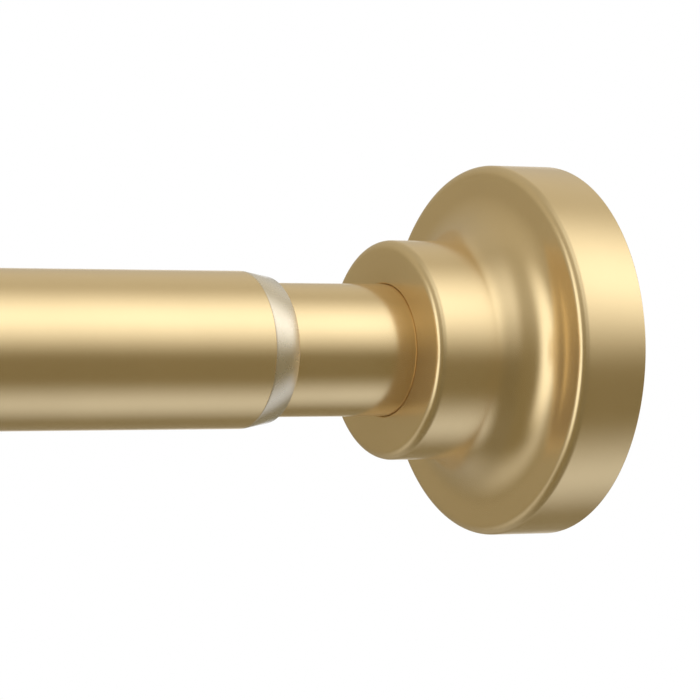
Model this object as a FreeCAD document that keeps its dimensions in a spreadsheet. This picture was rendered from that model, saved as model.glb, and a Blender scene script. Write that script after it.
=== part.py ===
import FreeCAD, Part
import math
import os
import Sketcher

# Spring tension rod with stepped round end caps, at rest and nearly closed.
# Millimetres. The rod lies along +X, +Z is up, and the origin is the middle of
# the left pad's wall face. The inner tube slides out of the outer one to +X.

DOCUMENT = FreeCAD.newDocument("spring_tension_rod")
SHEET = DOCUMENT.addObject("Spreadsheet::Sheet", "Sizes")

FULL_TURN = 360.0
HALF_TURN = 180.0

# Each driving dimension, written once: alias, value, and what it measures.
DRIVING_SIZES = [
    ("overall_length", 420.0, "wall face to wall face at rest"),
    ("outer_diameter", 25.4, "outer tube, outside"),
    ("outer_wall", 0.7, "outer tube, wall"),
    ("inner_wall", 0.7, "inner tube, wall"),
    ("mouth_to_hub", 26.9, "outer tube's mouth to the right cap's hub face"),
    ("nose_clearance", 13.7, "left foot's plug to the end of the threaded nose"),
    ("crimp_depth", 0.6, "depth of a rolled crimp in the inner tube"),
    ("crimp_width", 3.0, "width of a rolled crimp at the surface"),
    ("crimp_floor", 1.4, "width of a rolled crimp at its floor"),
    ("press_gap", 0.03, "radial gap of a pressed joint"),
    ("close_gap", 0.05, "radial gap of a pushed joint"),
    ("running_gap", 0.08, "radial gap of a sliding or turning joint"),
    ("pad_proud", 1.2, "pad face ahead of the cap's rim"),
    ("pad_rim_gap", 1.7, "radial gap between the pad and the cap's rim"),
    ("pad_thickness", 3.2, "rubber pad"),
    ("pad_edge", 0.6, "rounding of the pad's edge"),
    ("pad_groove_depth", 0.7, "anti-slip groove"),
    ("pad_groove_width", 1.6, "anti-slip groove"),
    ("pad_groove_rim", 5.4, "pad's rim to the outermost groove"),
    ("pad_groove_step", 5.0, "from one groove to the next"),
    ("pad_stem_radius", 3.9, "stem through the foot"),
    ("pad_button_radius", 5.2, "button that holds the stem"),
    ("pad_button_depth", 2.2, "button that holds the stem"),
    ("stem_gap", 0.1, "radial gap of the stem in the foot"),
    ("cap_depth", 31.15, "cap, rim to hub face"),
    ("cap_flange_depth", 12.25, "cap, rim to flange face"),
    ("cap_flange_radius", 30.6, "cap, flange outside"),
    ("cap_hub_land", 5.25, "cap, hub beyond the larger tube"),
    ("cap_wall", 1.0, "cap shell"),
    ("cap_hub_round", 1.5, "rounding of the hub's rim"),
    ("cap_flange_round", 1.6, "rounding of the flange's rim"),
    ("cap_step_flat", 3.0, "flat ring between the hollow round and the flange's rim"),
    ("cap_bore_gap", 0.05, "radial gap between tube and cap"),
    ("cap_lip_round", 0.3, "rounding of the bore's lip"),
    ("cap_lip_depth", 3.5, "lip turned into the bore"),
    ("foot_disc", 2.8, "foot disc thickness"),
    ("foot_skirt", 1.6, "foot skirt wall"),
    ("foot_skirt_chamfer", 0.9, "lead-in at the skirt's edge"),
    ("foot_plug_wall", 1.8, "plug inside the tube, wall"),
    ("foot_plug_depth", 24.0, "plug inside the tube, length"),
    ("foot_plug_chamfer", 0.8, "lead-in at the plug's end"),
    ("foot_collar_wall", 2.2, "collar round the tube, wall"),
    ("foot_collar_depth", 8.0, "collar round the tube, length"),
    ("foot_rib_height", 5.0, "gusset above the disc"),
    ("foot_rib_thickness", 1.6, "gusset"),
    ("foot_rib_count", 8, "gussets round the disc"),
    ("bush_sleeve", 18.0, "bush inside the outer tube, length"),
    ("bush_wall", 1.06, "bush between the tubes, wall"),
    ("bush_collar", 4.9, "bush outside the outer tube, length"),
    ("bush_shoulder_drop", 0.03, "collar's root below the outer tube"),
    ("bush_land", 0.4, "straight side of the collar, length"),
    ("bush_taper", 4.15, "tapered side of the collar, length"),
    ("bush_taper_drop", 0.78, "tapered side of the collar, fall"),
    ("bush_nose_round", 0.87, "rounding of the collar's front"),
    ("bush_nose_drop", 1.22, "collar's front edge below its root"),
    ("plug_flange", 3.0, "guide flange at the inner tube's end"),
    ("plug_shank", 18.0, "tube plug inside the inner tube"),
    ("plug_chamfer", 0.6, "lead-in of the tube plug"),
    ("guide_gap", 0.1, "gap between each flat of the bar and its guide"),
    ("bar_flats", 8.0, "plunger bar, across flats"),
    ("bar_tail", 4.0, "plunger bar beyond the spring seat"),
    ("bar_reach", 21.0, "bar between its shoulder and the tube plug"),
    ("bar_chamfer", 0.8, "bevel of the bar's end"),
    ("nose_radius", 3.0, "threaded nose"),
    ("nose_chamfer", 0.6, "bevel of the nose's end"),
    ("nose_margin", 1.0, "nose beyond its stop nut"),
    ("clip_thickness", 1.0, "open clip"),
    ("clip_radius", 6.6, "open clip, outside"),
    ("clip_groove_radius", 3.3, "clip's groove in the bar"),
    ("clip_opening", 5.0, "mouth of the open clip"),
    ("seat_flange", 2.0, "spring seat, flange thickness"),
    ("seat_pilot", 6.0, "spring seat, pilot inside the spring"),
    ("seat_side_gap", 0.4, "radial gap between seat and inner tube"),
    ("spring_length", 125.0, "spring as fitted"),
    ("spring_side_gap", 0.93, "radial gap between spring and inner tube"),
    ("spring_wire_radius", 0.9, "spring wire"),
    ("spring_pitch", 7.8, "from one turn to the next"),
    ("spring_end_gap", 0.05, "gap between the last turn and its seat"),
    ("spring_pilot_gap", 0.3, "radial gap between pilot and spring"),
    ("stop_depth", 8.0, "spring stop, length in the tube"),
    ("stop_hole", 3.0, "air hole through the spring stop"),
    ("washer_thickness", 1.2, "thrust washer"),
    ("washer_radius", 8.0, "thrust washer"),
    ("collet_length", 22.0, "collet"),
    ("collet_lip_wall", 3.32, "finger's wall at the collet's mouth"),
    ("collet_taper_drop", 2.4, "narrowing of the collet's taper"),
    ("collet_taper", 12.0, "length of the collet's taper"),
    ("collet_end_wall", 5.0, "solid end of the collet"),
    ("collet_slit_count", 4, "slits round the collet, each with its key"),
    ("collet_slit_width", 1.6, "slit between two fingers"),
    ("collet_slit_length", 14.0, "slit between two fingers"),
    ("collet_groove_width", 2.0, "drag ring's groove"),
    ("collet_groove_place", 15.5, "collet's mouth to the groove"),
    ("collet_edge", 0.6, "bevel of the collet's ends"),
    ("ring_section_radius", 0.8, "drag ring's section"),
    ("cone_length", 12.0, "cone nut"),
    ("cone_stand_off", 4.5, "cone nut outside the collet at rest"),
    ("cone_gap", 0.1, "radial gap between cone and collet"),
    ("cone_travel", 4.0, "how far the cone nut unscrews"),
    ("cone_stop_gap", 0.6, "cone nut to stop nut when unscrewed"),
    ("cone_key_width", 1.2, "key in a slit"),
    ("cone_key_drop", 1.12, "key's top below the collet's outside"),
    ("cone_key_start", 0.5, "collet's mouth to the key"),
    ("cone_key_length", 5.5, "key along the rod"),
    ("stop_nut_flats", 10.0, "stop nut, across flats"),
    ("stop_nut_depth", 3.0, "stop nut"),
]


class Size:
    """A length with the sheet formula that it comes from."""

    def __init__(self, number, formula):
        self.number = number
        self.formula = formula

    def __add__(self, other):
        other = as_size(other)
        return Size(self.number + other.number, f"({self.formula} + {other.formula})")

    def __sub__(self, other):
        other = as_size(other)
        return Size(self.number - other.number, f"({self.formula} - {other.formula})")

    def __mul__(self, other):
        other = as_size(other)
        return Size(self.number * other.number, f"({self.formula} * {other.formula})")

    def __truediv__(self, other):
        other = as_size(other)
        return Size(self.number / other.number, f"({self.formula} / {other.formula})")


def as_size(value):
    """A plain number becomes a size of its own."""
    if isinstance(value, Size):
        return value
    return Size(float(value), repr(float(value)))


class Sheet:
    """The driving sizes by name, as s.overall_length and so on."""


s = Sheet()
for row, (alias, value, meaning) in enumerate(DRIVING_SIZES, start=1):
    SHEET.set(f"A{row}", alias)
    SHEET.set(f"B{row}", str(value))
    SHEET.set(f"C{row}", meaning)
    SHEET.setAlias(f"B{row}", alias)
    setattr(s, alias, Size(float(value), f"Sizes.{alias}"))
DOCUMENT.recompute()

# Radii and places that follow from the driving sizes.
ORIGIN = as_size(0)
ROOT_THREE = Size(math.sqrt(3), "sqrt(3)")

outer_radius = s.outer_diameter / 2
outer_bore = outer_radius - s.outer_wall
inner_radius = outer_bore - s.press_gap - s.bush_wall - s.running_gap
inner_bore = inner_radius - s.inner_wall

foot_seat = s.pad_thickness + s.foot_disc
cap_inside_radius = s.cap_flange_radius - s.cap_wall
cap_hub_radius = outer_radius + s.cap_hub_land
cap_step_end = s.cap_flange_radius - s.cap_flange_round - s.cap_step_flat
cap_cove = cap_step_end - cap_hub_radius
pad_radius = cap_inside_radius - s.pad_rim_gap
hub_face = s.pad_proud + s.cap_depth
flange_face = s.pad_proud + s.cap_flange_depth
flange_inside = flange_face - s.cap_wall

mouth_place = s.overall_length - hub_face - s.mouth_to_hub
outer_tube_length = mouth_place - foot_seat

nose_place = foot_seat + s.foot_plug_depth + s.nose_clearance
stop_nut_place = nose_place + s.nose_margin
cone_place = stop_nut_place + s.stop_nut_depth + s.cone_stop_gap + s.cone_travel
collet_place = cone_place + s.cone_stand_off
washer_place = collet_place + s.collet_length
shoulder_place = washer_place + s.washer_thickness
nose_length = shoulder_place - nose_place

plug_place = shoulder_place + s.bar_reach
plug_length = s.plug_flange + s.plug_shank
inner_end_place = plug_place + s.plug_flange
inner_tube_length = s.overall_length - foot_seat - inner_end_place
clip_place = inner_end_place + s.plug_shank
seat_place = clip_place + s.clip_thickness
spring_place = seat_place + s.seat_flange
stop_place = spring_place + s.spring_length
bar_length = spring_place + s.seat_pilot + s.bar_tail - shoulder_place

bar_corner = s.bar_flats / ROOT_THREE
spring_coil_radius = inner_bore - s.spring_side_gap - s.spring_wire_radius
pilot_radius = spring_coil_radius - s.spring_wire_radius - s.spring_pilot_gap
crimp_middle = s.plug_shank / 2
stop_crimp_middle = s.stop_depth / 2
collet_radius = outer_bore - s.running_gap
neck_bore = s.nose_radius + s.running_gap
ring_coil_radius = collet_radius - s.ring_section_radius
collet_mouth_radius = collet_radius - s.collet_lip_wall
collet_throat_radius = collet_mouth_radius - s.collet_taper_drop
taper_slope = s.collet_taper_drop / s.collet_taper


def new_body(label):
    """An empty body whose label names its file."""
    body = DOCUMENT.addObject("PartDesign::Body", label)
    body.Label = label
    return body


def place(piece, x_place, turned_round=False):
    """Puts a piece along the rod, or at its far end facing back."""
    angle = HALF_TURN if turned_round else 0.0
    rotation = FreeCAD.Rotation(FreeCAD.Vector(0, 0, 1), angle)
    piece.Placement = FreeCAD.Placement(FreeCAD.Vector(x_place.number, 0, 0), rotation)
    piece.setExpression("Placement.Base.x", x_place.formula)


def new_sketch(body, name, role="XY_Plane", offset=None):
    """A sketch on one of the body's own planes, offset along its normal."""
    sketch = body.newObject("Sketcher::SketchObject", name)
    plane = [p for p in body.Origin.OriginFeatures if p.Role == role][0]
    sketch.AttachmentSupport = [(plane, "")]
    sketch.MapMode = "FlatFace"
    if offset is not None:
        sketch.setExpression("AttachmentOffset.Base.z", offset.formula)
    return sketch


def bind(sketch, constraint, size):
    """Adds a dimension whose value is the size's formula."""
    index = sketch.addConstraint(constraint)
    sketch.setExpression(f"Constraints[{index}]", size.formula)


def pin_point(sketch, edge, end, x, y):
    """Fixes one end of an edge at x, y from the sketch's origin."""
    horizontal_axis = -1
    vertical_axis = -2
    if x is ORIGIN and y is ORIGIN:
        sketch.addConstraint(Sketcher.Constraint("Coincident", edge, end, horizontal_axis, 1))
        return
    if x is ORIGIN:
        sketch.addConstraint(Sketcher.Constraint("PointOnObject", edge, end, vertical_axis))
    else:
        rule = Sketcher.Constraint("DistanceX", horizontal_axis, 1, edge, end, x.number)
        bind(sketch, rule, x)
    if y is ORIGIN:
        sketch.addConstraint(Sketcher.Constraint("PointOnObject", edge, end, horizontal_axis))
    else:
        rule = Sketcher.Constraint("DistanceY", horizontal_axis, 1, edge, end, y.number)
        bind(sketch, rule, y)


def arc_between(start, end, radius, left_turn):
    """The arc from start to end that bends left or right, always under half a turn."""
    middle = (start + end) / 2
    chord = end - start
    reach = math.sqrt(max(radius * radius - (chord.Length / 2) ** 2, 0.0))
    across = FreeCAD.Vector(-chord.y, chord.x, 0).normalize()
    centre = middle + across * (reach if left_turn else -reach)
    first, last = (start, end) if left_turn else (end, start)
    first_angle = math.atan2(first.y - centre.y, first.x - centre.x)
    last_angle = math.atan2(last.y - centre.y, last.x - centre.x)
    circle = Part.Circle(centre, FreeCAD.Vector(0, 0, 1), radius)
    return Part.ArcOfCircle(circle, first_angle, last_angle)


def line_to(x, y):
    """A straight step of an outline."""
    return (x, y, None, False)


def left_arc_to(x, y, radius):
    """A round step that bends left."""
    return (x, y, radius, True)


def right_arc_to(x, y, radius):
    """A round step that bends right."""
    return (x, y, radius, False)


def draw_outline(sketch, steps):
    """A closed outline. Each step says how its point is reached from the one before."""
    start_end = (1, 2)
    edges = []
    count = len(steps)
    for number in range(count):
        x, y, radius, left_turn = steps[number]
        before_x, before_y = steps[number - 1][:2]
        start = FreeCAD.Vector(before_x.number, before_y.number, 0)
        end = FreeCAD.Vector(x.number, y.number, 0)
        if radius is None:
            edge = sketch.addGeometry(Part.LineSegment(start, end))
            edges.append((edge,) + start_end)
        else:
            edge = sketch.addGeometry(arc_between(start, end, radius.number, left_turn))
            edges.append((edge,) + (start_end if left_turn else start_end[::-1]))
    for number in range(count):
        edge, _, far_end = edges[number]
        next_edge, near_end, _ = edges[(number + 1) % count]
        sketch.addConstraint(Sketcher.Constraint("Coincident", edge, far_end, next_edge, near_end))
        x, y, radius, _ = steps[number]
        pin_point(sketch, edge, far_end, x, y)
        if radius is not None:
            bind(sketch, Sketcher.Constraint("Radius", edge, radius.number), radius)


def draw_circle(sketch, radius, construction=False):
    """A circle about the sketch's origin."""
    circle = Part.Circle(FreeCAD.Vector(0, 0, 0), FreeCAD.Vector(0, 0, 1), radius.number)
    edge = sketch.addGeometry(circle, construction)
    sketch.addConstraint(Sketcher.Constraint("Coincident", edge, 3, -1, 1))
    bind(sketch, Sketcher.Constraint("Radius", edge, radius.number), radius)
    return edge


def draw_hexagon(sketch, across_flats):
    """A regular hexagon about the origin, with a corner on the vertical axis."""
    corner = across_flats / ROOT_THREE
    circle = draw_circle(sketch, corner, construction=True)
    side_count = 6
    points = []
    for number in range(side_count):
        angle = math.pi / 2 + number * 2 * math.pi / side_count
        points.append(FreeCAD.Vector(corner.number * math.cos(angle), corner.number * math.sin(angle), 0))
    edges = []
    for number in range(side_count):
        side = Part.LineSegment(points[number], points[(number + 1) % side_count])
        edges.append(sketch.addGeometry(side))
    for number in range(side_count):
        following = edges[(number + 1) % side_count]
        sketch.addConstraint(Sketcher.Constraint("Coincident", edges[number], 2, following, 1))
        sketch.addConstraint(Sketcher.Constraint("PointOnObject", edges[number], 1, circle))
        if number:
            sketch.addConstraint(Sketcher.Constraint("Equal", edges[0], edges[number]))
    sketch.addConstraint(Sketcher.Constraint("PointOnObject", edges[0], 1, -2))


def revolve(body, name, steps):
    """Turns an outline about the rod's axis into a solid."""
    sketch = new_sketch(body, f"{name}_outline")
    draw_outline(sketch, steps)
    feature = body.newObject("PartDesign::Revolution", name)
    feature.Profile = sketch
    feature.ReferenceAxis = (sketch, ["H_Axis"])
    feature.Angle = FULL_TURN
    DOCUMENT.recompute()
    return feature


def turn_away(body, name, steps):
    """Turns an outline about the rod's axis and cuts it from the body."""
    before = body.Shape.Volume
    sketch = new_sketch(body, f"{name}_outline")
    draw_outline(sketch, steps)
    feature = body.newObject("PartDesign::Groove", name)
    feature.Profile = sketch
    feature.ReferenceAxis = (sketch, ["H_Axis"])
    feature.Angle = FULL_TURN
    DOCUMENT.recompute()
    check_cut(body, name, before)
    return feature


def check_cut(body, name, before):
    """A cut that takes nothing away points the wrong way."""
    if body.Shape.Volume >= before:
        raise RuntimeError(f"{body.Label}: {name} cuts nothing")


def pattern_round(body, feature, name, sketch, copies):
    """Repeats a feature evenly about the rod's axis."""
    pattern = body.newObject("PartDesign::PolarPattern", name)
    pattern.Originals = [feature]
    pattern.Axis = (sketch, ["H_Axis"])
    pattern.Angle = FULL_TURN
    pattern.setExpression("Occurrences", copies.formula)
    body.Tip = pattern
    DOCUMENT.recompute()
    return pattern


def make_outer_tube():
    body = new_body("outer_tube")
    sketch = new_sketch(body, "tube_section", "YZ_Plane")
    draw_circle(sketch, outer_radius)
    draw_circle(sketch, outer_bore)
    pad = body.newObject("PartDesign::Pad", "tube_length")
    pad.Profile = sketch
    pad.setExpression("Length", outer_tube_length.formula)
    DOCUMENT.recompute()
    place(body, foot_seat)
    return body


def crimp_steps(middle, radius):
    """Four points of a rolled crimp, from its left lip to its right lip."""
    floor = radius - s.crimp_depth
    return [
        line_to(middle - s.crimp_width / 2, radius),
        line_to(middle - s.crimp_floor / 2, floor),
        line_to(middle + s.crimp_floor / 2, floor),
        line_to(middle + s.crimp_width / 2, radius),
    ]


def make_inner_tube():
    """The tube has two rolled crimps, one on the tube plug and one on the spring stop."""
    body = new_body("inner_tube")
    stop_crimp_place = stop_place - inner_end_place + stop_crimp_middle
    outside = crimp_steps(crimp_middle, inner_radius) + crimp_steps(stop_crimp_place, inner_radius)
    inside = crimp_steps(crimp_middle, inner_bore) + crimp_steps(stop_crimp_place, inner_bore)
    steps = [line_to(ORIGIN, inner_bore), line_to(ORIGIN, inner_radius)]
    steps += outside
    steps += [line_to(inner_tube_length, inner_radius), line_to(inner_tube_length, inner_bore)]
    steps += inside[::-1]
    revolve(body, "rolled_tube", steps)
    place(body, inner_end_place)
    return body


def make_mouth_bush():
    """Guide sleeve inside the outer tube and a tapered, rounded collar outside."""
    body = new_body("mouth_bush")
    bore = inner_radius + s.running_gap
    sleeve_radius = outer_bore - s.press_gap
    root_radius = outer_radius - s.bush_shoulder_drop
    land_end = s.bush_sleeve + s.bush_land
    taper_end = land_end + s.bush_taper
    front = s.bush_sleeve + s.bush_collar
    revolve(body, "bush", [
        line_to(ORIGIN, bore),
        line_to(ORIGIN, sleeve_radius),
        line_to(s.bush_sleeve, sleeve_radius),
        line_to(s.bush_sleeve, root_radius),
        line_to(land_end, root_radius),
        line_to(taper_end, root_radius - s.bush_taper_drop),
        right_arc_to(front, root_radius - s.bush_nose_drop, s.bush_nose_round),
        line_to(front, bore),
    ])
    place(body, mouth_place - s.bush_sleeve)
    return body


def make_cover(label, tube_radius, at_far_end):
    """Stepped cap drawn from one sheet: hub, hollow round, flange and a turned-in lip."""
    body = new_body(label)
    bore = tube_radius + s.cap_bore_gap
    wall = s.cap_wall
    hub_inside = cap_hub_radius - wall
    hub_back = hub_face - wall
    cove_start = cap_hub_radius + cap_cove
    cove_end = flange_face + cap_cove
    lip_end = hub_face - s.cap_lip_depth
    lip_outside = bore + wall
    inner_flange_round = s.cap_flange_round - wall
    inner_hub_round = s.cap_hub_round - wall
    revolve(body, "cap_shell", [
        line_to(s.pad_proud, cap_inside_radius),
        line_to(s.pad_proud, s.cap_flange_radius),
        line_to(flange_face - s.cap_flange_round, s.cap_flange_radius),
        right_arc_to(flange_face, s.cap_flange_radius - s.cap_flange_round, s.cap_flange_round),
        line_to(flange_face, cove_start),
        left_arc_to(cove_end, cap_hub_radius, cap_cove),
        line_to(hub_face - s.cap_hub_round, cap_hub_radius),
        right_arc_to(hub_face, cap_hub_radius - s.cap_hub_round, s.cap_hub_round),
        line_to(hub_face, bore + s.cap_lip_round),
        right_arc_to(hub_face - s.cap_lip_round, bore, s.cap_lip_round),
        line_to(lip_end, bore),
        line_to(lip_end, lip_outside),
        line_to(hub_back, lip_outside),
        line_to(hub_back, hub_inside - inner_hub_round),
        left_arc_to(hub_back - inner_hub_round, hub_inside, inner_hub_round),
        line_to(cove_end, hub_inside),
        right_arc_to(flange_inside, cove_start, cap_cove + wall),
        line_to(flange_inside, cap_inside_radius - inner_flange_round),
        left_arc_to(flange_inside - inner_flange_round, cap_inside_radius, inner_flange_round),
    ])
    place(body, s.overall_length if at_far_end else ORIGIN, at_far_end)
    return body


def make_foot(label, tube_radius, tube_bore, at_far_end):
    """Moulded foot: a disc with a skirt, a collar, gussets and a hollow plug in the tube."""
    body = new_body(label)
    skirt_radius = cap_inside_radius - s.close_gap
    skirt_inside = skirt_radius - s.foot_skirt
    plug_radius = tube_bore - s.close_gap
    plug_inside = plug_radius - s.foot_plug_wall
    plug_end = foot_seat + s.foot_plug_depth
    collar_inside = tube_radius + s.close_gap
    collar_radius = collar_inside + s.foot_collar_wall
    collar_end = foot_seat + s.foot_collar_depth
    stem_hole = s.pad_stem_radius + s.stem_gap
    revolve(body, "foot_turned", [
        line_to(s.pad_thickness, stem_hole),
        line_to(s.pad_thickness, skirt_radius),
        line_to(flange_inside - s.foot_skirt_chamfer, skirt_radius),
        line_to(flange_inside, skirt_radius - s.foot_skirt_chamfer),
        line_to(flange_inside, skirt_inside),
        line_to(foot_seat, skirt_inside),
        line_to(foot_seat, collar_radius),
        line_to(collar_end, collar_radius),
        line_to(collar_end, collar_inside),
        line_to(foot_seat, collar_inside),
        line_to(foot_seat, plug_radius),
        line_to(plug_end - s.foot_plug_chamfer, plug_radius),
        line_to(plug_end, plug_radius - s.foot_plug_chamfer),
        line_to(plug_end, plug_inside),
        line_to(foot_seat, plug_inside),
        line_to(foot_seat, stem_hole),
    ])
    sketch = new_sketch(body, "gusset_outline")
    root = s.foot_disc / 2
    draw_outline(sketch, [
        line_to(foot_seat - root, collar_radius - s.foot_collar_wall / 2),
        line_to(foot_seat - root, skirt_radius - s.foot_skirt / 2),
        line_to(foot_seat + s.foot_rib_height, skirt_radius - s.foot_skirt / 2),
        line_to(foot_seat + s.foot_rib_height, collar_radius - s.foot_collar_wall / 2),
    ])
    gusset = body.newObject("PartDesign::Pad", "gusset")
    gusset.Profile = sketch
    gusset.Midplane = True
    gusset.setExpression("Length", s.foot_rib_thickness.formula)
    DOCUMENT.recompute()
    pattern_round(body, gusset, "gussets", sketch, s.foot_rib_count)
    place(body, s.overall_length if at_far_end else ORIGIN, at_far_end)
    return body


def make_pad(label, at_far_end):
    """Rubber wall pad with ring grooves, and a stem with a button that holds it."""
    body = new_body(label)
    groove_count = 3
    steps = [line_to(ORIGIN, ORIGIN)]
    for number in reversed(range(groove_count)):
        high = pad_radius - s.pad_groove_rim - s.pad_groove_step * number
        low = high - s.pad_groove_width
        steps += [
            line_to(ORIGIN, low),
            line_to(s.pad_groove_depth, low),
            line_to(s.pad_groove_depth, high),
            line_to(ORIGIN, high),
        ]
    button_end = foot_seat + s.pad_button_depth
    steps += [
        line_to(ORIGIN, pad_radius - s.pad_edge),
        right_arc_to(s.pad_edge, pad_radius, s.pad_edge),
        line_to(s.pad_thickness, pad_radius),
        line_to(s.pad_thickness, s.pad_stem_radius),
        line_to(foot_seat, s.pad_stem_radius),
        line_to(foot_seat, s.pad_button_radius),
        line_to(button_end, s.pad_stem_radius),
        line_to(button_end, ORIGIN),
    ]
    revolve(body, "pad_turned", steps)
    place(body, s.overall_length if at_far_end else ORIGIN, at_far_end)
    return body


def make_tube_plug():
    """Guide with a hexagonal bore, held by the tube's rolled crimp."""
    body = new_body("tube_plug")
    shank = inner_bore - s.close_gap
    middle = s.plug_flange + crimp_middle
    guide = outer_bore - s.running_gap
    steps = [
        line_to(ORIGIN, ORIGIN),
        line_to(ORIGIN, guide - s.plug_chamfer),
        line_to(s.plug_chamfer, guide),
        line_to(s.plug_flange, guide),
        line_to(s.plug_flange, shank),
    ]
    steps += crimp_steps(middle, shank)
    steps += [
        line_to(plug_length - s.plug_chamfer, shank),
        line_to(plug_length, shank - s.plug_chamfer),
        line_to(plug_length, ORIGIN),
    ]
    revolve(body, "plug_turned", steps)
    before = body.Shape.Volume
    sketch = new_sketch(body, "guide_outline", "YZ_Plane")
    draw_hexagon(sketch, s.bar_flats + s.guide_gap * 2)
    pocket = body.newObject("PartDesign::Pocket", "guide_bore")
    pocket.Profile = sketch
    pocket.Type = "ThroughAll"
    pocket.Midplane = True
    DOCUMENT.recompute()
    check_cut(body, "guide_bore", before)
    place(body, plug_place)
    return body


def make_plunger_rod():
    """Hexagonal bar with a round nose, a bevelled end and a groove for the clip."""
    body = new_body("plunger_rod")
    sketch = new_sketch(body, "bar_section", "YZ_Plane", nose_length)
    draw_hexagon(sketch, s.bar_flats)
    pad = body.newObject("PartDesign::Pad", "bar")
    pad.Profile = sketch
    pad.setExpression("Length", bar_length.formula)
    DOCUMENT.recompute()
    root = nose_length + s.nose_radius
    revolve(body, "nose", [
        line_to(ORIGIN, ORIGIN),
        line_to(ORIGIN, s.nose_radius - s.nose_chamfer),
        line_to(s.nose_chamfer, s.nose_radius),
        line_to(root, s.nose_radius),
        line_to(root, ORIGIN),
    ])
    beyond = bar_corner + s.bar_chamfer
    groove_start = clip_place - nose_place
    turn_away(body, "clip_groove", [
        line_to(groove_start, s.clip_groove_radius),
        line_to(groove_start, beyond),
        line_to(groove_start + s.clip_thickness, beyond),
        line_to(groove_start + s.clip_thickness, s.clip_groove_radius),
    ])
    end = nose_length + bar_length
    turn_away(body, "end_bevel", [
        line_to(end, bar_corner - s.bar_chamfer),
        line_to(end - s.bar_chamfer * 2, beyond),
        line_to(end, beyond),
    ])
    place(body, nose_place)
    return body


def make_seat_clip():
    """Open clip that snaps into the bar's groove and carries the spring seat."""
    body = new_body("seat_clip")
    bore = s.clip_groove_radius + s.close_gap
    revolve(body, "clip_ring", [
        line_to(ORIGIN, bore),
        line_to(ORIGIN, s.clip_radius),
        line_to(s.clip_thickness, s.clip_radius),
        line_to(s.clip_thickness, bore),
    ])
    before = body.Shape.Volume
    sketch = new_sketch(body, "mouth_outline")
    draw_outline(sketch, [
        line_to(ORIGIN, ORIGIN),
        line_to(ORIGIN, s.clip_radius * 2),
        line_to(s.clip_thickness, s.clip_radius * 2),
        line_to(s.clip_thickness, ORIGIN),
    ])
    pocket = body.newObject("PartDesign::Pocket", "clip_mouth")
    pocket.Profile = sketch
    pocket.Midplane = True
    pocket.setExpression("Length", s.clip_opening.formula)
    DOCUMENT.recompute()
    check_cut(body, "clip_mouth", before)
    place(body, clip_place)
    return body


def make_spring_seat():
    """Flanged cup on the bar, with a pilot that centres the spring."""
    body = new_body("spring_seat")
    bore = bar_corner + s.guide_gap
    flange = inner_bore - s.seat_side_gap
    end = s.seat_flange + s.seat_pilot
    revolve(body, "seat_turned", [
        line_to(ORIGIN, bore),
        line_to(ORIGIN, flange),
        line_to(s.seat_flange, flange),
        line_to(s.seat_flange, pilot_radius),
        line_to(end - s.plug_chamfer, pilot_radius),
        line_to(end, pilot_radius - s.plug_chamfer),
        line_to(end, bore),
    ])
    place(body, seat_place)
    return body


def make_spring():
    """Compression spring between its seat and its stop."""
    body = new_body("spring")
    first_turn = s.spring_wire_radius + s.spring_end_gap
    sketch = new_sketch(body, "wire_section")
    centre = FreeCAD.Vector(first_turn.number, spring_coil_radius.number, 0)
    up = FreeCAD.Vector(0, 0, 1)
    wire = sketch.addGeometry(Part.Circle(centre, up, s.spring_wire_radius.number))
    pin_point(sketch, wire, 3, first_turn, spring_coil_radius)
    bind(sketch, Sketcher.Constraint("Radius", wire, s.spring_wire_radius.number), s.spring_wire_radius)
    coil = body.newObject("PartDesign::AdditiveHelix", "coil")
    coil.Profile = sketch
    coil.ReferenceAxis = (sketch, ["H_Axis"])
    coil.Mode = "pitch-height-angle"
    coil.setExpression("Pitch", s.spring_pitch.formula)
    coil.setExpression("Height", (s.spring_length - first_turn * 2).formula)
    DOCUMENT.recompute()
    place(body, spring_place)
    return body


def make_spring_stop():
    """Cup held by the tube's second rolled crimp, with a pilot for the spring."""
    body = new_body("spring_stop")
    cup = inner_bore - s.close_gap
    start = s.seat_pilot
    end = s.seat_pilot + s.stop_depth
    steps = [
        line_to(ORIGIN, s.stop_hole),
        line_to(ORIGIN, pilot_radius - s.plug_chamfer),
        line_to(s.plug_chamfer, pilot_radius),
        line_to(start, pilot_radius),
        line_to(start, cup),
    ]
    steps += crimp_steps(start + stop_crimp_middle, cup)
    steps += [
        line_to(end, cup),
        line_to(end, s.stop_hole),
    ]
    revolve(body, "stop_turned", steps)
    place(body, stop_place - s.seat_pilot)
    return body


def make_thrust_washer():
    body = new_body("thrust_washer")
    sketch = new_sketch(body, "washer_section", "YZ_Plane")
    draw_circle(sketch, s.washer_radius)
    draw_circle(sketch, neck_bore)
    pad = body.newObject("PartDesign::Pad", "washer")
    pad.Profile = sketch
    pad.setExpression("Length", s.washer_thickness.formula)
    DOCUMENT.recompute()
    place(body, washer_place)
    return body


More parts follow.
